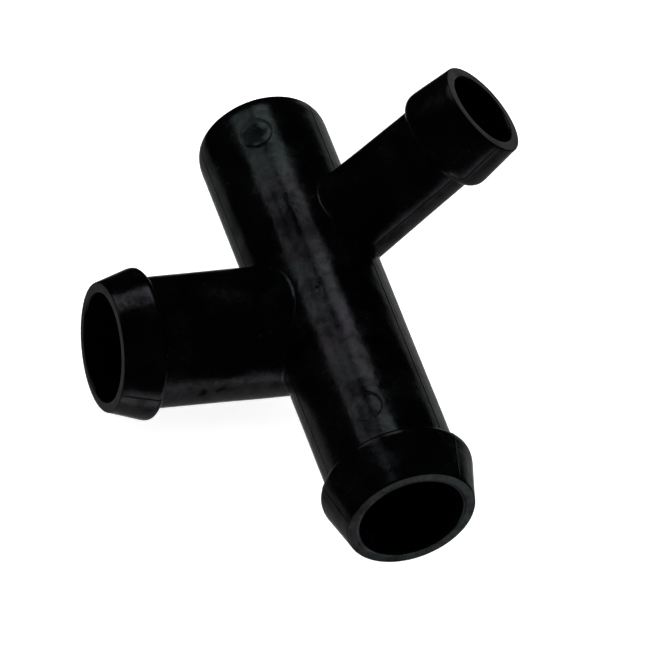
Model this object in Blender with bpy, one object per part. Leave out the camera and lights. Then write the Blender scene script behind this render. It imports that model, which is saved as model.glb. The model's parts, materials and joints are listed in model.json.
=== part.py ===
"""Four-port barbed hose connector, one black plastic moulding, modelled as its six sections.

The run lies along Y and carries a barb at its near end (-Y) and a plain lead-in at its far end (+Y).
A full-size branch leaves it along -X. A smaller branch leaves it upwards, in the XZ plane.
Both branches lie deeper than the run's axis, so the run's crown between them stays whole, and the
left one passes a little under the run and ends there in a rounded heel.
The origin is the centre of the bounding box, at its bottom, and every length is in metres.
"""

from math import cos, pi, radians, sin

import bmesh
import bpy
from mathutils import Vector

# Driving dimensions
GAP = 0.0003                     # clearance between neighbouring sections
SIDES = 64                       # sides of every round section
SHOULDER_STEPS = 4               # facets across a barb's rounded shoulder
HEEL_STEPS = 8                   # facets from the side of the heel to its middle
EDGE = 0.0003                    # small chamfer on the rims
MERGE = 1e-6                     # points closer than this are one

BRANCH_ANGLE = radians(126.5)    # between the two branches, seen along the run
BRANCH_OFFSET = 0.01645          # along the run, from the left branch to the right one

RUN = {
    "near_length": 0.0512,       # from the left branch's axis to the barbed end
    "far_length": 0.0446,        # from the left branch's axis to the plain end
    "root_radius": 0.0125,
    "tube_radius": 0.0125,
    "bore_root": 0.0099,
    "bore_mouth": 0.0099,
    "lead_in_length": 0.0026,    # taper on the plain end
    "lead_in_depth": 0.0013,
}
RUN_BARB = {"nose": 0.0091, "shoulder": 0.0013, "crest_radius": 0.01455, "rim_radius": 0.01235}

LEFT = {
    "length": 0.0440,            # from beside the run's axis to the branch's rim
    "drop": 0.0038,              # from the run's axis to the branch's axis
    "heel": 0.0030,              # where the rounded end starts, short of the run's axis
    "root_radius": 0.01235,
    "tube_radius": 0.01225,
    "bore_root": 0.0095,
    "bore_mouth": 0.0102,
}
LEFT_BARB = {"nose": 0.0071, "shoulder": 0.0011, "crest_radius": 0.0142, "rim_radius": 0.0122}

RIGHT = {
    "length": 0.0445,
    "drop": 0.0024,
    "root_radius": 0.0092,
    "tube_radius": 0.0087,
    "bore_root": 0.0070,
    "bore_mouth": 0.0075,
}
RIGHT_BARB = {"nose": 0.0090, "shoulder": 0.0022, "crest_radius": 0.0104, "rim_radius": 0.0097}

BLACK = (0.012, 0.012, 0.013, 1.0)
ROUGHNESS = 0.42
SHARP_ANGLE = radians(28)

# Directions in which the four ports face
NEAR = Vector((0, -1, 0))
FAR = Vector((0, 1, 0))
LEFT_OUT = Vector((-1, 0, 0))
RIGHT_OUT = Vector((-cos(BRANCH_ANGLE), 0, sin(BRANCH_ANGLE)))

# The branches are dropped square to their own axes, away from the crown between them
LEFT_DROP = Vector((0, 0, -1)) * LEFT["drop"]
RIGHT_DROP = Vector((RIGHT_OUT.z, 0, -RIGHT_OUT.x)) * RIGHT["drop"]

# The point of the run's axis beside the left branch: the fitting lies on its left barb, and the
# box is centred
RIM_REACH = RIGHT_BARB["rim_radius"] + RIGHT["drop"]
RIGHT_REACH = (RIGHT["length"] - EDGE) * RIGHT_OUT.x + RIM_REACH * RIGHT_OUT.z
RUN_ORIGIN = Vector((
    (LEFT["length"] - RIGHT_REACH) / 2,
    (RUN["near_length"] - RUN["far_length"]) / 2,
    LEFT_BARB["crest_radius"] + LEFT["drop"],
))
LEFT_ROOT = RUN_ORIGIN + LEFT_DROP
RIGHT_ROOT = RUN_ORIGIN + FAR * BRANCH_OFFSET + RIGHT_DROP


def between(start, end, share):
    """The value at a share of the way from start to end."""
    return start + (end - start) * share


def bore_at(port, length, height):
    """Bore radius at a height above the run's axis; the bore opens evenly towards the mouth."""
    return between(port["bore_root"], port["bore_mouth"], height / length)


def tube_end(barb, length):
    """Height at which a tube gives way to its barb's shoulder."""
    return length - barb["nose"] - barb["shoulder"]


def barb_outline(port, barb, length):
    """Closed outline (radius, height) of a barb: back face, shoulder, nose, rim and bore."""
    base = tube_end(barb, length)
    rise = barb["crest_radius"] - port["tube_radius"]
    outline = [(bore_at(port, length, base), base)]
    for step in range(SHOULDER_STEPS + 1):
        turn = step / SHOULDER_STEPS * pi / 2
        radius = port["tube_radius"] + rise * sin(turn)
        outline.append((radius, base + barb["shoulder"] * (1 - cos(turn))))
    outline += [
        (barb["rim_radius"], length - EDGE),
        (barb["rim_radius"] - EDGE, length),
        (port["bore_mouth"] + EDGE, length),
        (port["bore_mouth"], length - EDGE),
    ]
    return outline


def tube_outline(port, barb, length):
    """Closed outline of a branch tube, from beside the run's axis to just short of its barb."""
    top = tube_end(barb, length) - GAP
    return [
        (port["bore_root"], 0),
        (port["root_radius"], 0),
        (port["tube_radius"], top),
        (bore_at(port, length, top), top),
    ]


def heel_outline(port, radius):
    """A quarter circle from the branch's axis, under the run, out to a radius."""
    outline = []
    for step in range(HEEL_STEPS + 1):
        turn = step / HEEL_STEPS * pi / 2
        outline.append((radius * sin(turn), port["heel"] - radius * cos(turn)))
    return outline


def heeled_outline(port, barb, length):
    """Outline of a branch tube whose inner end is closed by a rounded heel, from axis to axis."""
    top = tube_end(barb, length) - GAP
    inside = heel_outline(port, port["bore_root"])
    outside = heel_outline(port, port["root_radius"])
    outside.reverse()
    return inside + [(bore_at(port, length, top), top), (port["tube_radius"], top)] + outside


def run_outline():
    """Closed outline of the run tube, from just behind its barb to the plain end's lead-in."""
    far = RUN["far_length"]
    near = -tube_end(RUN_BARB, RUN["near_length"]) + GAP
    radius = RUN["tube_radius"]
    bore = RUN["bore_root"]
    return [
        (bore, near),
        (radius, near),
        (radius, far - RUN["lead_in_length"]),
        (radius - RUN["lead_in_depth"], far),
        (bore + EDGE, far),
        (bore, far - EDGE),
    ]


def turned(name, outline, origin, axis):
    """An object turned about an axis through origin, from a closed outline or one from axis to axis."""
    shape = bmesh.new()
    ring = [shape.verts.new((radius, 0, height)) for radius, height in outline]
    edges = [shape.edges.new((ring[i - 1], ring[i])) for i in range(1, len(ring))]
    if outline[0][0] > MERGE:
        edges.append(shape.edges.new((ring[-1], ring[0])))
    bmesh.ops.spin(shape, geom=ring + edges, cent=(0, 0, 0), axis=(0, 0, 1),
                   angle=2 * pi, steps=SIDES, use_merge=True)
    bmesh.ops.remove_doubles(shape, verts=shape.verts, dist=MERGE)
    bmesh.ops.recalc_face_normals(shape, faces=shape.faces)
    return placed(name, shape, origin, axis)


def cutter(name, outline, origin, axis):
    """A turned object that only cuts others."""
    item = turned(name, outline, origin, axis)
    item.hide_render = True
    item.display_type = "WIRE"
    return item


def placed(name, shape, origin, axis):
    """Links a finished shape to the scene, its local Z laid along an axis."""
    mesh = bpy.data.meshes.new(name)
    shape.to_mesh(mesh)
    shape.free()
    item = bpy.data.objects.new(name, mesh)
    item.location = origin
    item.rotation_mode = "QUATERNION"
    item.rotation_quaternion = axis.to_track_quat("Z", "Y")
    bpy.context.scene.collection.objects.link(item)
    return item


def cut(item, tools):
    """Subtracts each tool from an object."""
    for tool in tools:
        boolean = item.modifiers.new(tool.name, "BOOLEAN")
        boolean.operation = "DIFFERENCE"
        boolean.solver = "EXACT"
        boolean.object = tool


def settle(item):
    """Applies an object's modifiers, and shades its round faces smooth."""
    bpy.context.view_layer.update()
    evaluated = item.evaluated_get(bpy.context.evaluated_depsgraph_get())
    mesh = bpy.data.meshes.new_from_object(evaluated)
    item.modifiers.clear()
    item.data = mesh
    mesh.shade_smooth()
    mesh.set_sharp_from_angle(angle=SHARP_ANGLE)


def paint(item):
    """Gives an object its own black plastic."""
    plastic = bpy.data.materials.new(item.name + "_plastic")
    plastic.use_nodes = True
    shader = plastic.node_tree.nodes["Principled BSDF"]
    shader.inputs["Base Color"].default_value = BLACK
    shader.inputs["Roughness"].default_value = ROUGHNESS
    shader.inputs["Metallic"].default_value = 0.0
    item.data.materials.clear()
    item.data.materials.append(plastic)


def make_run():
    """The straight tube with its two side ports, and the barb on its near end."""
    tube = turned("run_tube", run_outline(), RUN_ORIGIN, FAR)
    left_port = heel_outline(LEFT, LEFT["bore_root"]) + port_outline(LEFT)
    right_port = [(0, 0), (RIGHT["bore_root"], 0)] + port_outline(RIGHT)
    cut(tube, [
        cutter("left_port", left_port, LEFT_ROOT, LEFT_OUT),
        cutter("right_port", right_port, RIGHT_ROOT, RIGHT_OUT),
    ])
    outline = barb_outline(RUN, RUN_BARB, RUN["near_length"])
    return [tube, turned("run_barb", outline, RUN_ORIGIN, NEAR)]


def port_outline(port):
    """The outer end of a bore's cutter, well outside the run's wall."""
    reach = 2 * RUN["tube_radius"]
    return [(bore_at(port, port["length"], reach), reach), (0, reach)]


def saddle_cutter():
    """The run's own cylinder and its clearance, which the branch tubes are cut to."""
    radius = RUN["tube_radius"] + GAP
    near, far = -RUN["near_length"], RUN["far_length"]
    return cutter("saddle", [(0, near), (radius, near), (radius, far), (0, far)], RUN_ORIGIN, FAR)


def make_branch(side, outline, port, barb, root, out, saddle):
    """A side branch: a tube whose foot is cut to fit the run, and the barb on its end."""
    tube = turned(side + "_branch_tube", outline, root, out)
    cut(tube, [saddle])
    end = barb_outline(port, barb, port["length"])
    return [tube, turned(side + "_barb", end, root, out)]


def build():
    for old in list(bpy.data.objects):
        bpy.data.objects.remove(old)
    saddle = saddle_cutter()
    sections = make_run()
    left_outline = heeled_outline(LEFT, LEFT_BARB, LEFT["length"])
    sections += make_branch("left", left_outline, LEFT, LEFT_BARB, LEFT_ROOT, LEFT_OUT, saddle)
    right_outline = tube_outline(RIGHT, RIGHT_BARB, RIGHT["length"])
    sections += make_branch("right", right_outline, RIGHT, RIGHT_BARB, RIGHT_ROOT, RIGHT_OUT, saddle)
    for section in sections:
        settle(section)
        paint(section)


build()
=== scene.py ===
import json
from math import asin, atan2, cos, hypot, pi, radians, sin, sqrt, tan

import bmesh
import bpy
from mathutils import Matrix, Vector, noise


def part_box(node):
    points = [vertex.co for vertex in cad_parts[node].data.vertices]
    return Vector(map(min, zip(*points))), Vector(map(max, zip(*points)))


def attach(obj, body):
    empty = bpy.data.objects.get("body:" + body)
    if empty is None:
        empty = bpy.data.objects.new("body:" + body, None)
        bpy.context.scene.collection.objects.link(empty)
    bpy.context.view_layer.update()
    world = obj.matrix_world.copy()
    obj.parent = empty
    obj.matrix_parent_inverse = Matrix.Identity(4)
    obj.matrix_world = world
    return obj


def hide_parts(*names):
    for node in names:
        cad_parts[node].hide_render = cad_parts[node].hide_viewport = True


mm = 0.001

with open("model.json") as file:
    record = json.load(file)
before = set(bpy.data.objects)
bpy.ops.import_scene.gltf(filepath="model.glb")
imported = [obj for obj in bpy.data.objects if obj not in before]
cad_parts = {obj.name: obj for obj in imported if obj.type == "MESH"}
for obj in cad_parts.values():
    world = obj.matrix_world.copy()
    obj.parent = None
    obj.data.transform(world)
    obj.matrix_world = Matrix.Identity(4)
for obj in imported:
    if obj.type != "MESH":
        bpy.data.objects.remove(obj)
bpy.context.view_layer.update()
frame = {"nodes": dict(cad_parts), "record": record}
print("frame loaded:", ", ".join(sorted(frame["nodes"])))


# Places, read from the frame
def middle(node):
    low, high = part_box(node)
    return (low + high) / 2


def mountOf(name):
    return next(m for m in frame["record"]["mounts"] if m["name"] == name)


# Where a branch's axis passes the run's axis, how long it is from there, and which way it points
def branchLine(mountName, barbNode):
    mount = mountOf(mountName)
    out = Vector(mount["axis"]).normalized()
    end = Vector((mount["pos_m"][0], middle(barbNode).y, mount["pos_m"][2]))
    length = (end - runOrigin).dot(out)
    return end - out * length, length, out


nearOut = Vector((0, -1, 0))
farOut = Vector((0, 1, 0))
runAxis = middle("run_tube")
runOrigin = Vector((runAxis.x, 0, runAxis.z))     # halfway along the fitting, on the run's axis
nearLength = -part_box("run_barb")[0].y
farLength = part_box("run_tube")[1].y
leftRoot, leftLength, leftOut = branchLine("left_end", "left_barb")
rightRoot, rightLength, rightOut = branchLine("right_end", "right_barb")
drawOut = (leftOut + rightOut).normalized()       # the mould opens along this, between the branches

run = dict(
    radius=12.5 * mm,
    bore=9.9 * mm,
    leadInLength=3.4 * mm,       # the plain end's rounded lead-in
    leadInDepth=1.5 * mm,
    rimEdge=0.35 * mm,
)
runBarb = dict(nose=9.1 * mm, shoulder=1.3 * mm, crest=14.55 * mm, rim=12.35 * mm, rimEdge=0.35 * mm)

left = dict(
    rootRadius=12.35 * mm,
    tipRadius=12.25 * mm,
    boreRoot=9.5 * mm,
    boreMouth=10.2 * mm,
    heel=3.0 * mm,               # its rounded inner end starts this far short of the run's axis
    fillet=0.35 * mm,            # radius of the ball that rolls round the joint with the run
)
leftBarb = dict(nose=7.1 * mm, shoulder=1.1 * mm, crest=14.2 * mm, rim=12.2 * mm, rimEdge=0.3 * mm)

right = dict(
    rootRadius=9.2 * mm,
    tipRadius=8.7 * mm,
    boreRoot=7.0 * mm,
    boreMouth=7.5 * mm,
    heel=0.0,
    fillet=0.4 * mm,
)
rightBarb = dict(nose=9.0 * mm, shoulder=2.2 * mm, crest=10.4 * mm, rim=9.7 * mm, rimEdge=0.3 * mm)

# How one surface differs from a perfect turned one
moulding = dict(
    seamHeight=0.07 * mm,        # the raised parting line
    seamWidth=0.22 * mm,
    waveHeight=0.035 * mm,       # slow unevenness from shrinkage
    waveLength=9 * mm,
    grainHeight=0.008 * mm,
    grainLength=2.2 * mm,
)

# How finely the skins are divided
fineness = dict(
    turnedPoints=176,            # round the run and the barbs
    branchPoints=190,            # round a branch's joint with the run
    portPoints=144,
    filletRows=7,
    branchRows=38,
    boreRows=24,
)

# Round marks that the ejector pins leave along the run's crown, and the gate's pit between them.
# height counts from the run's middle towards its far end, and lip is the width of the mark's edge.
crownMarks = [
    dict(height=-nearLength + 18.4 * mm, turn=0.0, radius=2.9 * mm, depth=0.11 * mm, lip=0.35 * mm),
    dict(height=farLength - 8.5 * mm, turn=0.0, radius=2.9 * mm, depth=0.12 * mm, lip=0.35 * mm),
    dict(height=-0.1 * mm, turn=radians(0.5), radius=0.35 * mm, depth=0.15 * mm, lip=0.3 * mm),
]


# Camera
camera = dict(
    azimuth=-29.66,              # degrees round from the run's barbed end
    elevation=45.70,
    roll=16.65,
    distance=2.2,
    viewWidth=122.87 * mm,       # what the frame's width takes in at the object
    target=runOrigin + Vector((-0.61, -0.34, -0.67)) * mm,
)


def makeCamera(spec):
    data = bpy.data.cameras.new("camera")
    data.sensor_width = 36
    data.lens = data.sensor_width * spec["distance"] / spec["viewWidth"]
    data.clip_start = 0.05
    data.clip_end = 50
    item = bpy.data.objects.new("camera", data)
    az, el = radians(spec["azimuth"]), radians(spec["elevation"])
    back = Vector((sin(az) * cos(el), -cos(az) * cos(el), sin(el)))
    item.location = spec["target"] + back * spec["distance"]
    aim = (-back).to_track_quat("-Z", "Y").to_matrix().to_4x4()
    turn = aim @ Matrix.Rotation(radians(spec["roll"]), 4, "Z")
    item.matrix_world = Matrix.Translation(item.location) @ turn
    bpy.context.scene.collection.objects.link(item)
    bpy.context.scene.camera = item


makeCamera(camera)
print("camera set")


# Shape helpers
# Points on an ellipse's arc, as (radius, height)
def arc(centre, size, start, end, steps):
    wide, tall = size
    points = []
    for i in range(steps + 1):
        a = radians(start + (end - start) * i / steps)
        points.append((centre[0] + wide * cos(a), centre[1] + tall * sin(a)))
    return points


# Points along a line, without its last one
def straight(start, end, steps):
    return [
        (start[0] + (end[0] - start[0]) * i / steps, start[1] + (end[1] - start[1]) * i / steps)
        for i in range(steps)
    ]


# Angles round a ring, closer together near each angle in fine
def turnsRound(count, fine, fineWidth, fineCount):
    angles = [2 * pi * i / count for i in range(count)]
    for at in fine:
        angles = [a for a in angles if abs(wrap(a - at)) > fineWidth]
        for i in range(fineCount + 1):
            angles.append((at + fineWidth * (2 * i / fineCount - 1)) % (2 * pi))
    return sorted(angles)


# The same angle, less than half a turn either way
def wrap(angle):
    return (angle + pi) % (2 * pi) - pi


# A soft step from 0 at 0 to 1 at 1
def step(x):
    x = min(1.0, max(0.0, x))
    return x * x * (3 - 2 * x)


# A matrix whose Z is out and whose X, where angles start, is zero
def axisFrame(origin, out, zero):
    x = (zero - out * zero.dot(out)).normalized()
    y = out.cross(x)
    turn = Matrix((x, y, out)).transposed().to_4x4()
    return Matrix.Translation(origin) @ turn


# Shrinkage waves and fine grain at a point, as a height
def unevenness(point):
    slow = noise.noise(point / moulding["waveLength"])
    fine = noise.noise(point / moulding["grainLength"] + Vector((7, 3, 5)))
    return slow * moulding["waveHeight"] + fine * moulding["grainHeight"]


# Height of the parting line at a distance round the surface from it
def seam(arcDistance):
    x = arcDistance / moulding["seamWidth"]
    return moulding["seamHeight"] * max(0.0, 1 - x * x) if abs(x) < 1 else 0.0


# A closed skin over closed rings of points, the last ring joined to the first
def ringSkin(name, rings):
    shape = bmesh.new()
    made = [[shape.verts.new(p) for p in ring] for ring in rings]
    for a in range(len(made)):
        lower, upper = made[a - 1], made[a]
        for i in range(len(lower)):
            shape.faces.new((lower[i - 1], lower[i], upper[i], upper[i - 1]))
    bmesh.ops.recalc_face_normals(shape, faces=shape.faces)
    mesh = bpy.data.meshes.new(name)
    shape.to_mesh(mesh)
    shape.free()
    mesh.shade_smooth()
    mesh.set_sharp_from_angle(angle=radians(40))
    item = bpy.data.objects.new(name, mesh)
    bpy.context.scene.collection.objects.link(item)
    return item


# A ring turned from an outline of (radius, height, worked); worked points carry the moulding's detail
def turned(name, outline, place, angles, seams, marks=()):
    rings = []
    for radius, height, worked in outline:
        ring = []
        for a in angles:
            r = radius
            if worked:
                r += outerDetail(place, radius, height, a, seams, marks) * worked
            ring.append(place @ Vector((r * cos(a), r * sin(a), height)))
        rings.append(ring)
    return ringSkin(name, rings)


# How far the moulding's detail lifts or sinks a turned skin at one place
def outerDetail(place, radius, height, angle, seams, marks):
    lift = unevenness(place @ Vector((radius * cos(angle), radius * sin(angle), height)))
    for at in seams:
        lift += seam(radius * wrap(angle - at))
    for mark in marks:
        away = hypot(radius * wrap(angle - mark["turn"]), height - mark["height"])
        lift -= mark["depth"] * step((mark["radius"] + mark["lip"] - away) / mark["lip"])
    return lift


# Subtracts cutters from a piece, then removes them
def cutAway(item, cutters):
    for cutter in cutters:
        boolean = item.modifiers.new("cut", "BOOLEAN")
        boolean.operation = "DIFFERENCE"
        boolean.solver = "EXACT"
        boolean.object = cutter
    bpy.context.view_layer.update()
    evaluated = item.evaluated_get(bpy.context.evaluated_depsgraph_get())
    mesh = bpy.data.meshes.new_from_object(evaluated)
    item.modifiers.clear()
    item.data = mesh
    mesh.shade_smooth()
    mesh.set_sharp_from_angle(angle=radians(40))
    for cutter in cutters:
        bpy.data.objects.remove(cutter)


# The run; the mould parts along the two lines that face the branches
runSeams = (drawOut.angle(leftOut), 2 * pi - drawOut.angle(leftOut))
branchSeams = (0.0, pi)          # towards the run's far end, and opposite it


# Where a tube ends and its barb begins, as a height along it
def tubeTop(barb, length):
    return length - barb["nose"] - barb["shoulder"]


# Heights from low to high, coarse apart, and fine apart within each spot
def finePlaces(low, high, coarse, fine, spots):
    places = [low]
    while places[-1] < high:
        here = places[-1]
        near = any(abs(here - at) < reach for at, reach in spots)
        places.append(here + (fine if near else coarse))
    return places[:-1] + [high]


# The straight tube, open at both ends, with a port in its wall for each branch
def makeRun(barb, spec):
    place = axisFrame(runOrigin, farOut, drawOut)
    near = -tubeTop(barb, nearLength)
    leadIn = farLength - spec["leadInLength"]
    land = spec["radius"] - spec["leadInDepth"]
    spots = [(m["height"], m["radius"] + 2 * m["lip"] + 0.3 * mm) for m in crownMarks]
    tuck = 0.2 * mm              # how far the tube's end reaches into the barb

    outline = [(spec["bore"] + tuck, near - tuck, 0), (spec["radius"] - tuck, near - tuck, 0)]
    outline += [(spec["radius"], h, 1) for h in finePlaces(near, leadIn, 1.0 * mm, 0.22 * mm, spots)]
    lead = arc((land, leadIn), (spec["leadInDepth"], spec["leadInLength"]), 0, 82, 9)[1:]
    outline += [(r, h, 1 - i / len(lead)) for i, (r, h) in enumerate(lead)]
    face = (land - 0.05 * mm, farLength), (spec["bore"] + spec["rimEdge"], farLength)
    outline += [(r, h, 0) for r, h in straight(*face, 3)]
    edge = (spec["bore"] + spec["rimEdge"], farLength - spec["rimEdge"])
    outline += [(r, h, 0) for r, h in arc(edge, (spec["rimEdge"],) * 2, 90, 180, 4)]
    inside = (spec["bore"], farLength - 0.8 * mm), (spec["bore"], near)
    outline += [(r, h, 0) for r, h in straight(*inside, 48)]
    outline.append((spec["bore"], near, 0))

    angles = turnsRound(fineness["turnedPoints"], runSeams, radians(2.2), 10)
    angles = [a for a in angles if abs(wrap(a)) > radians(17)]
    angles += [radians(degrees) % (2 * pi) for degrees in range(-17, 18)]    # finer along the crown
    item = turned("runTube", outline, place, sorted(angles), runSeams, crownMarks)
    cutAway(item, [portTool(left, leftRoot, leftOut, leftLength),
                   portTool(right, rightRoot, rightOut, rightLength)])
    return item


# A branch bore's radius at a height along it
def boreAt(spec, length, height):
    return spec["boreRoot"] + (spec["boreMouth"] - spec["boreRoot"]) * height / length


# The space that a branch's bore takes out of the run's wall, with a round inner end
def portTool(spec, root, out, length):
    reach = 2 * run["radius"]
    outline = [(spec["boreRoot"] * sin(radians(a)), spec["heel"] - spec["boreRoot"] * cos(radians(a)))
               for a in range(3, 91, 6)]
    outline.append((boreAt(spec, length, reach), reach))
    place = axisFrame(root, out, farOut)
    count = fineness["portPoints"]
    shape = bmesh.new()
    rings = []
    for radius, height in outline:
        rings.append([shape.verts.new(place @ Vector((radius * cos(a), radius * sin(a), height)))
                      for a in (2 * pi * i / count for i in range(count))])
    for lower, upper in zip(rings, rings[1:]):
        for i in range(count):
            shape.faces.new((lower[i - 1], lower[i], upper[i], upper[i - 1]))
    shape.faces.new(rings[0])
    shape.faces.new(rings[-1])
    bmesh.ops.recalc_face_normals(shape, faces=shape.faces)
    mesh = bpy.data.meshes.new("port")
    shape.to_mesh(mesh)
    shape.free()
    item = bpy.data.objects.new("port", mesh)
    bpy.context.scene.collection.objects.link(item)
    return item


# Barbs
# Shoulder, crest, nose, rim and bore of one barb, starting with a small fillet on its tube
def makeBarb(name, barb, tube, bore, length, root, out, zero, seams):
    place = axisFrame(root, out, zero)
    base = tubeTop(barb, length)
    crestAt = length - barb["nose"]
    rise = barb["crest"] - tube
    foot = 0.3 * mm              # the small fillet under the shoulder
    outline = [(r, h, 1) for r, h in arc((tube + foot, base - foot), (foot * 1.05, foot), 180, 90, 4)]
    outline[0] = (tube - 0.03 * mm, base - foot * 1.15, 1)
    shoulder = arc((tube, crestAt), (rise, barb["shoulder"]), -62, 0, 9)
    outline += [(r, h, 1) for r, h in shoulder[:-1]]
    slope = (barb["crest"] - barb["rim"]) / barb["nose"]
    easing = 0.55 * mm           # the crest rolls over into the nose
    for i in range(1, 5):
        t = i / 4
        outline.append((barb["crest"] - slope * easing * t * t, crestAt + easing * 1.6 * t, 1))
    top = length - barb["rimEdge"]
    start = (outline[-1][0], outline[-1][1])
    outline += [(r, h, 1) for r, h in straight(start, (barb["rim"], top), 9)[1:]]
    edge = (barb["rim"] - barb["rimEdge"], top)
    outline += [(r, h, 0.5) for r, h in arc(edge, (barb["rimEdge"],) * 2, 8, 90, 5)]
    inner = bore + barb["rimEdge"]
    face = (edge[0] - 0.05 * mm, length), (inner + 0.05 * mm, length)
    outline += [(r, h, 0) for r, h in straight(*face, 4)]
    outline += [(r, h, 0) for r, h in arc((inner, top), (barb["rimEdge"],) * 2, 90, 180, 4)]
    outline += [(r, h, 0) for r, h in straight((bore, top - 0.6 * mm), (bore, base), 8)]
    outline.append((bore, base, 0))
    angles = turnsRound(fineness["turnedPoints"], seams, radians(2.2), 10)
    return turned(name, outline, place, angles, seams)


# Branches: each meets the run in the fillet that a small ball would leave, rolling round the joint.
# In a branch's own frame X is along the run, Y is to the side and Z is outwards.

# Where the ball's centre is for one angle about the run's axis: how far along the run, squared
# (less than 0 where the ball doesn't reach the branch), how far to the side, and how high
def jointWidth(angle, across, spec, ball, radius, shift):
    side, height = shift + across * cos(angle), across * sin(angle)
    below = min(0.0, height - spec["heel"])
    return (radius + ball) ** 2 - side ** 2 - below ** 2, side, height


# Places of the ball's centre, all round the joint
def jointRing(spec, ball, radius, across, shift, turns):
    ends = []
    for away in (pi, -pi / 2):
        inside, outside = pi / 2, away
        for _ in range(50):
            half = (inside + outside) / 2
            if jointWidth(half, across, spec, ball, radius, shift)[0] > 0:
                inside = half
            else:
                outside = half
        ends.append(inside)
    centre, span = (ends[0] + ends[1]) / 2, (ends[0] - ends[1]) / 2
    ring = []
    for t in turns:
        square, side, height = jointWidth(centre + span * cos(t), across, spec, ball, radius, shift)
        along = sqrt(max(0.0, square)) * (1 if sin(t) >= 0 else -1)
        ring.append(Vector((along, side, height)))
    return ring


# Rows from a point low on a branch's skin up to its barb, round the heel first where there is one
def climb(spec, start, rootRadius, tipRadius, top, rows):
    turn = atan2(start.y, start.x)
    below = max(0.0, spec["heel"] - start.z)
    angle = asin(min(1.0, below / rootRadius))
    arcLength = angle * rootRadius
    foot = max(start.z, spec["heel"])
    total = arcLength + top - foot
    points = []
    for i in range(rows + 1):
        far = total * i / rows
        if far < arcLength:
            dip = angle - far / rootRadius
            normal = Vector((cos(turn) * cos(dip), sin(turn) * cos(dip), -sin(dip)))
            points.append((Vector((0, 0, spec["heel"])) + normal * rootRadius, normal))
            continue
        height = foot + far - arcLength
        radius = rootRadius + (tipRadius - rootRadius) * (height - spec["heel"]) / (top - spec["heel"])
        normal = Vector((cos(turn), sin(turn), 0))
        points.append((normal * radius + Vector((0, 0, height)), normal))
    return points


# One branch's tube, from its joint with the run up to its barb, hollow throughout
def makeBranch(name, spec, barb, length, root, out):
    place = axisFrame(root, out, farOut)
    shift = (place.inverted() @ runOrigin).y      # the run's axis, off to the branch's side
    top = tubeTop(barb, length)
    ball = spec["fillet"]
    across = run["radius"] + ball
    depth = run["radius"] - 0.06 * mm             # the foot is sunk this far into the run's wall
    tuck = 0.2 * mm
    turns = turnsRound(fineness["branchPoints"], (pi / 2, 3 * pi / 2), radians(13), 34)
    centres = jointRing(spec, ball, spec["rootRadius"], across, shift, turns)
    inner = jointRing(spec, 0.0, spec["boreRoot"], depth, shift, turns)
    runLine = Vector((0, shift, 0))
    columns = []
    for centre, innerFoot in zip(centres, inner):
        onRun = runLine - Vector((0, centre.y, centre.z))
        onRun.normalize()
        axisPoint = Vector((0, 0, max(centre.z, spec["heel"])))
        onTube = (axisPoint - centre).normalized()
        opening = max(1e-4, onRun.angle(onTube))
        sunk = centre + onRun * (across - depth)
        column = [(sunk, onRun, 0)]
        for i in range(fineness["filletRows"]):
            t = i / fineness["filletRows"]
            turn = (onRun * sin((1 - t) * opening) + onTube * sin(t * opening)) / sin(opening)
            column.append((centre + turn * ball, -turn, 1))
        start = centre + onTube * ball
        rows = climb(spec, start, spec["rootRadius"], spec["tipRadius"], top, fineness["branchRows"])
        column += [(point, normal, 1) for point, normal in rows]
        last, sideways = rows[-1]
        column.append((last - sideways * tuck + Vector((0, 0, tuck)), sideways, 0))
        boreTop = boreAt(spec, length, top)
        inside = climb(spec, innerFoot, spec["boreRoot"], boreTop, top, fineness["boreRows"])
        column.append((inside[-1][0] + Vector((0, 0, tuck)), sideways, 0))
        column += [(point, normal, 0) for point, normal in reversed(inside)]
        columns.append([place @ lifted(place, *part, spec["heel"]) for part in column])
    rings = [[column[i] for column in columns] for i in range(len(columns[0]))]
    return ringSkin(name, rings)


# A point on a branch's skin, moved outwards by the moulding's detail there
def lifted(place, point, normal, worked, heel):
    if not worked:
        return point
    lift = unevenness(place @ point)
    if point.z > heel:
        turn = atan2(point.y, point.x)
        radius = hypot(point.x, point.y)
        lift += sum(seam(radius * wrap(turn - at)) for at in branchSeams)
    return point + normal * lift


# Black plastic
plastic = dict(
    deep=(0.0004, 0.0004, 0.0005),
    worn=(0.0010, 0.0011, 0.0011),
    roughLow=0.13,
    roughHigh=0.27,
    shineLow=0.20,               # how strongly dull and glossy places reflect
    shineHigh=0.72,
    coolTint=(0.78, 0.97, 1.0),
    warmTint=(0.93, 0.85, 1.0),
    flowSize=150,                # blotches per metre
    mottleSize=330,
    grainSize=900,
    pitSize=420,
)


# A point on a tube's skin, at a height along it and an angle round it
def skinPoint(root, out, zero, radius, height, turn):
    return axisFrame(root, out, zero) @ Vector((radius * cos(turn), radius * sin(turn), height))


# Scuffed places, and how much gloss each keeps: one at the mark near the plain end, two on a branch
scuffs = [
    dict(at=skinPoint(runOrigin, farOut, drawOut, run["radius"], farLength - 8.6 * mm, radians(-3)),
         radius=2.5 * mm, ragged=5.0 * mm, gloss=0.25),
    dict(at=skinPoint(leftRoot, leftOut, farOut, left["tipRadius"], 27.6 * mm, radians(175)),
         radius=1.2 * mm, ragged=3.0 * mm, gloss=0.1),
    dict(at=skinPoint(leftRoot, leftOut, farOut, left["tipRadius"], 24.6 * mm, radians(176)),
         radius=0.8 * mm, ragged=2.5 * mm, gloss=0.2),
]

# A duller, warmer stretch of the run, between two places along it
dullStretch = dict(start=7.0 * mm, end=19.8 * mm, edge=1.0 * mm, gloss=0.66)


# A node with some of its inputs set
def node(tree, kind, **inputs):
    made = tree.nodes.new(kind)
    for name, value in inputs.items():
        made.inputs[name.replace("_", " ")].default_value = value
    return made


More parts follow.
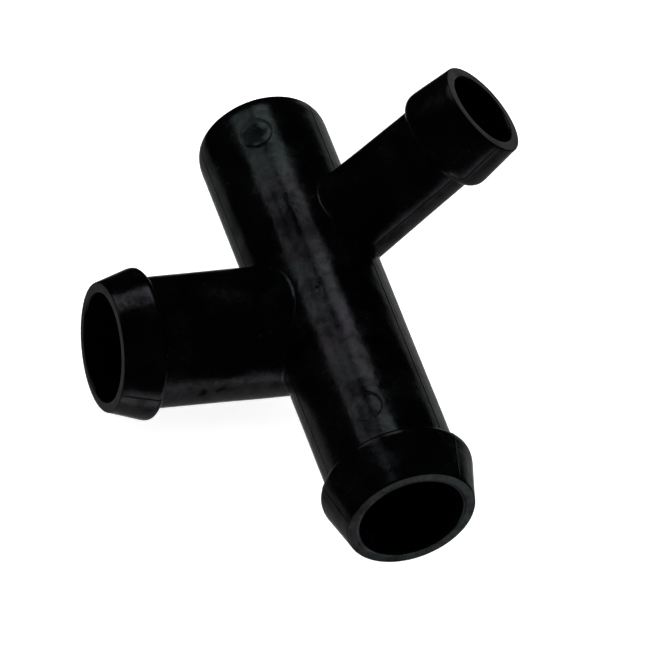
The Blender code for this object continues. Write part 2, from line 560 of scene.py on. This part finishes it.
# Noise between 0 and 1
def noiseNode(tree, where, scale, detail, rough, distortion=0.0):
    made = node(tree, "ShaderNodeTexNoise", Scale=scale, Detail=detail, Roughness=rough,
                Distortion=distortion)
    tree.links.new(where, made.inputs["Vector"])
    return made.outputs["Fac"]


# A value carried from one range to another, and held at its ends
def ramp(tree, value, low, high, lowOut=0.0, highOut=1.0):
    made = node(tree, "ShaderNodeMapRange")
    made.inputs["From Min"].default_value = low
    made.inputs["From Max"].default_value = high
    made.inputs["To Min"].default_value = lowOut
    made.inputs["To Max"].default_value = highOut
    tree.links.new(value, made.inputs["Value"])
    return made.outputs["Result"]


# Arithmetic on two values, either of which may be a plain number
def combine(tree, operation, a, b):
    made = tree.nodes.new("ShaderNodeMath")
    made.operation = operation
    for i, value in enumerate((a, b)):
        if isinstance(value, (int, float)):
            made.inputs[i].default_value = value
        else:
            tree.links.new(value, made.inputs[i])
    return made.outputs["Value"]


# Mixes two colours by a factor into a shader's input
def blend(tree, factor, a, b, target):
    made = tree.nodes.new("ShaderNodeMix")
    made.data_type = "RGBA"
    made.inputs["A"].default_value = (*a, 1)
    made.inputs["B"].default_value = (*b, 1)
    tree.links.new(factor, made.inputs["Factor"])
    tree.links.new(made.outputs["Result"], target)


# What a scuff leaves of the gloss at a place
def scuffShare(tree, where, rough, spec):
    away = tree.nodes.new("ShaderNodeVectorMath")
    away.operation = "DISTANCE"
    away.inputs[1].default_value = spec["at"]
    tree.links.new(where, away.inputs[0])
    ragged = combine(tree, "MULTIPLY", combine(tree, "SUBTRACT", rough, 0.5), spec["ragged"])
    reach = combine(tree, "ADD", away.outputs["Value"], ragged)
    return ramp(tree, reach, spec["radius"] * 0.8, spec["radius"] * 1.1, spec["gloss"], 1.0)


# 1 inside the duller stretch of the run, 0 outside it, with ragged ends
def stretchMask(tree, where, rough):
    split = tree.nodes.new("ShaderNodeSeparateXYZ")
    tree.links.new(where, split.inputs["Vector"])
    ragged = combine(tree, "MULTIPLY", combine(tree, "SUBTRACT", rough, 0.5), 5.0 * mm)
    along = combine(tree, "ADD", split.outputs["Y"], ragged)
    start, end, edge = dullStretch["start"], dullStretch["end"], dullStretch["edge"]
    pastStart = ramp(tree, along, start, start + edge)
    pastEnd = ramp(tree, along, end - edge, end)
    return combine(tree, "SUBTRACT", pastStart, pastEnd)


# Black moulded plastic: uneven gloss, fine grain, a few pits and paler rubbed patches
def makePlastic(name, offset):
    material = bpy.data.materials.new(name)
    material.use_nodes = True
    tree = material.node_tree
    shader = tree.nodes["Principled BSDF"]
    place = tree.nodes.new("ShaderNodeTexCoord")
    shift = node(tree, "ShaderNodeMapping", Location=offset)
    tree.links.new(place.outputs["Object"], shift.inputs["Vector"])
    where = shift.outputs["Vector"]

    flow = noiseNode(tree, where, plastic["flowSize"], 5, 0.6, 0.4)
    mottle = noiseNode(tree, where, plastic["mottleSize"], 5, 0.62, 0.3)
    grain = noiseNode(tree, where, plastic["grainSize"], 3, 0.55)
    pits = node(tree, "ShaderNodeTexVoronoi", Scale=plastic["pitSize"])
    tree.links.new(where, pits.inputs["Vector"])
    pitDepth = ramp(tree, pits.outputs["Distance"], 0.03, 0.16)
    rarePits = ramp(tree, noiseNode(tree, where, 260, 2, 0.5), 0.56, 0.62)
    pitted = combine(tree, "MAXIMUM", pitDepth, combine(tree, "SUBTRACT", 1.0, rarePits))

    blend(tree, ramp(tree, flow, 0.42, 0.72), plastic["deep"], plastic["worn"], shader.inputs["Base Color"])
    drift = noiseNode(tree, where, 34, 2, 0.5)
    inStretch = stretchMask(tree, where, mottle)
    tint = combine(tree, "SUBTRACT", ramp(tree, drift, 0.38, 0.56), inStretch)
    blend(tree, tint, plastic["warmTint"], plastic["coolTint"],
          shader.inputs["Specular Tint"])
    wear = combine(tree, "ADD", flow, mottle)
    shine = ramp(tree, wear, 0.80, 1.16, plastic["shineLow"], plastic["shineHigh"])
    shine = combine(tree, "MULTIPLY", shine, ramp(tree, inStretch, 0.0, 1.0, 1.0, dullStretch["gloss"]))
    for spec in scuffs:
        shine = combine(tree, "MULTIPLY", shine, scuffShare(tree, where, mottle, spec))
    tree.links.new(shine, shader.inputs["Specular IOR Level"])

    blotch = ramp(tree, flow, 0.32, 0.68, plastic["roughLow"], plastic["roughHigh"])
    speck = ramp(tree, grain, 0.3, 0.7, -0.05, 0.06)
    pitRough = ramp(tree, pitted, 0.0, 1.0, 0.05, 0.0)
    roughness = combine(tree, "ADD", combine(tree, "ADD", blotch, speck), pitRough)
    tree.links.new(roughness, shader.inputs["Roughness"])

    lumps = node(tree, "ShaderNodeBump", Strength=0.8, Distance=0.00009)
    tree.links.new(mottle, lumps.inputs["Height"])
    fine = node(tree, "ShaderNodeBump", Strength=0.5, Distance=0.000012)
    tree.links.new(grain, fine.inputs["Height"])
    tree.links.new(lumps.outputs["Normal"], fine.inputs["Normal"])
    dents = node(tree, "ShaderNodeBump", Strength=0.4, Distance=0.00005)
    tree.links.new(pitted, dents.inputs["Height"])
    tree.links.new(fine.outputs["Normal"], dents.inputs["Normal"])
    tree.links.new(dents.outputs["Normal"], shader.inputs["Normal"])
    return material


blackPlastic = makePlastic("blackPlastic", (0, 0, 0))
print("plastic mixed")


# Build and fit
def fit(item, cadNode):
    item.data.materials.clear()
    item.data.materials.append(blackPlastic)
    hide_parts(cadNode)
    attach(item, "root")
    print("made", item.name, len(item.data.polygons), "faces")


fit(makeRun(runBarb, run), "run_tube")
fit(makeBarb("runBarb", runBarb, run["radius"], run["bore"], nearLength, runOrigin, nearOut, drawOut,
             runSeams), "run_barb")
fit(makeBranch("leftBranchTube", left, leftBarb, leftLength, leftRoot, leftOut), "left_branch_tube")
fit(makeBarb("leftBarb", leftBarb, left["tipRadius"], left["boreMouth"], leftLength, leftRoot, leftOut,
             farOut, branchSeams), "left_barb")
fit(makeBranch("rightBranchTube", right, rightBarb, rightLength, rightRoot, rightOut), "right_branch_tube")
fit(makeBarb("rightBarb", rightBarb, right["tipRadius"], right["boreMouth"], rightLength, rightRoot,
             rightOut, farOut, branchSeams), "right_barb")


# Studio
studio = dict(
    floorRadius=5.0,
    floorLight=(0.90, 0.90, 0.90),
    floorDark=(0.86, 0.86, 0.86),
    floorGlow=0.80,              # keeps the shadow on the paper faint
    skyStrength=0.004,
    sunStrength=1.4,
    sunSoftness=80,              # degrees across
)

# Soft lights. Each stands at turn degrees round the run from straight up, towards the left branch,
# leans lean degrees towards the run's far end, and is wide by tall degrees as the fitting sees it.
softLights = [
    dict(name="softboxRight", turn=5, lean=37, wide=18, tall=30, strength=0.78, distance=0.6),
    dict(name="softboxMiddle", turn=31, lean=27, wide=10, tall=48, strength=0.46, distance=0.6),
    dict(name="softboxLeft", turn=49, lean=37, wide=13, tall=30, strength=0.50, distance=0.6),
    dict(name="tableBounce", turn=186, lean=0, wide=118, tall=118, strength=0.13, distance=0.35),
    dict(name="frontBounce", turn=172, lean=-41, wide=30, tall=22, strength=0.42, distance=0.5),
    dict(name="cornerBounce", turn=216, lean=-44, wide=16, tall=16, strength=0.42, distance=0.5),
    dict(name="backCard", turn=-154, lean=38, wide=32, tall=32, strength=0.4, distance=0.6),
    dict(name="sideCard", turn=-103, lean=37, wide=30, tall=34, strength=0.20, distance=0.6),
]


# A pale round floor whose far edge sweeps up all round, like a studio backdrop
def makeFloor():
    shape = bmesh.new()
    rings = []
    sweep = [(0.2, 0), (1.0, 0), (2.5, 0), (4.0, 0)]
    sweep += [(4.0 + sin(radians(a)), 1 - cos(radians(a))) for a in range(10, 91, 10)]
    sweep.append((studio["floorRadius"], 3.0))
    for radius, height in sweep:
        ring = [(radius * cos(2 * pi * i / 72), radius * sin(2 * pi * i / 72), height) for i in range(72)]
        rings.append([shape.verts.new(p) for p in ring])
    shape.faces.new(rings[0])
    for lower, upper in zip(rings, rings[1:]):
        for i in range(72):
            shape.faces.new((lower[i], lower[i - 1], upper[i - 1], upper[i]))
    mesh = bpy.data.meshes.new("floor")
    shape.to_mesh(mesh)
    shape.free()
    mesh.shade_smooth()
    item = bpy.data.objects.new("floor", mesh)
    bpy.context.scene.collection.objects.link(item)
    paper = bpy.data.materials.new("paper")
    paper.use_nodes = True
    tree = paper.node_tree
    shader = tree.nodes["Principled BSDF"]
    place = tree.nodes.new("ShaderNodeTexCoord")
    fibres = noiseNode(tree, place.outputs["Object"], 60, 4, 0.6)
    blend(tree, ramp(tree, fibres, 0.3, 0.7), studio["floorDark"], studio["floorLight"],
          shader.inputs["Base Color"])
    shader.inputs["Emission Color"].default_value = (1, 1, 1, 1)
    shader.inputs["Emission Strength"].default_value = studio["floorGlow"]
    shader.inputs["Roughness"].default_value = 0.9
    shader.inputs["Specular IOR Level"].default_value = 0.0
    mesh.materials.append(paper)
    item.visible_glossy = False
    item.visible_shadow = False


# A soft light panel facing the fitting
def makePanel(spec):
    turn, lean = radians(spec["turn"]), radians(spec["lean"])
    direction = Vector((-sin(turn) * cos(lean), sin(lean), cos(turn) * cos(lean)))
    across = Vector((cos(turn), 0, sin(turn)))
    data = bpy.data.lights.new(spec["name"], "AREA")
    data.shape = "RECTANGLE"
    data.size = 2 * spec["distance"] * tan(radians(spec["wide"]) / 2)
    data.size_y = 2 * spec["distance"] * tan(radians(spec["tall"]) / 2)
    data.energy = spec["strength"] * pi * data.size * data.size_y
    item = bpy.data.objects.new(spec["name"], data)
    item.matrix_world = axisFrame(runOrigin + direction * spec["distance"], direction, across)
    bpy.context.scene.collection.objects.link(item)


def makeLights():
    world = bpy.data.worlds.new("studio")
    bpy.context.scene.world = world
    world.use_nodes = True
    world.node_tree.nodes["Background"].inputs["Color"].default_value = (0.8, 0.9, 1.0, 1)
    world.node_tree.nodes["Background"].inputs["Strength"].default_value = studio["skyStrength"]
    sun = bpy.data.lights.new("sun", "SUN")
    sun.energy = studio["sunStrength"]
    sun.angle = radians(studio["sunSoftness"])
    item = bpy.data.objects.new("sun", sun)
    item.rotation_euler = (radians(-20), radians(-12), 0)
    item.visible_glossy = False
    bpy.context.scene.collection.objects.link(item)
    for spec in softLights:
        makePanel(spec)


makeFloor()
makeLights()
bpy.context.scene.view_settings.view_transform = "Standard"
print("studio set")
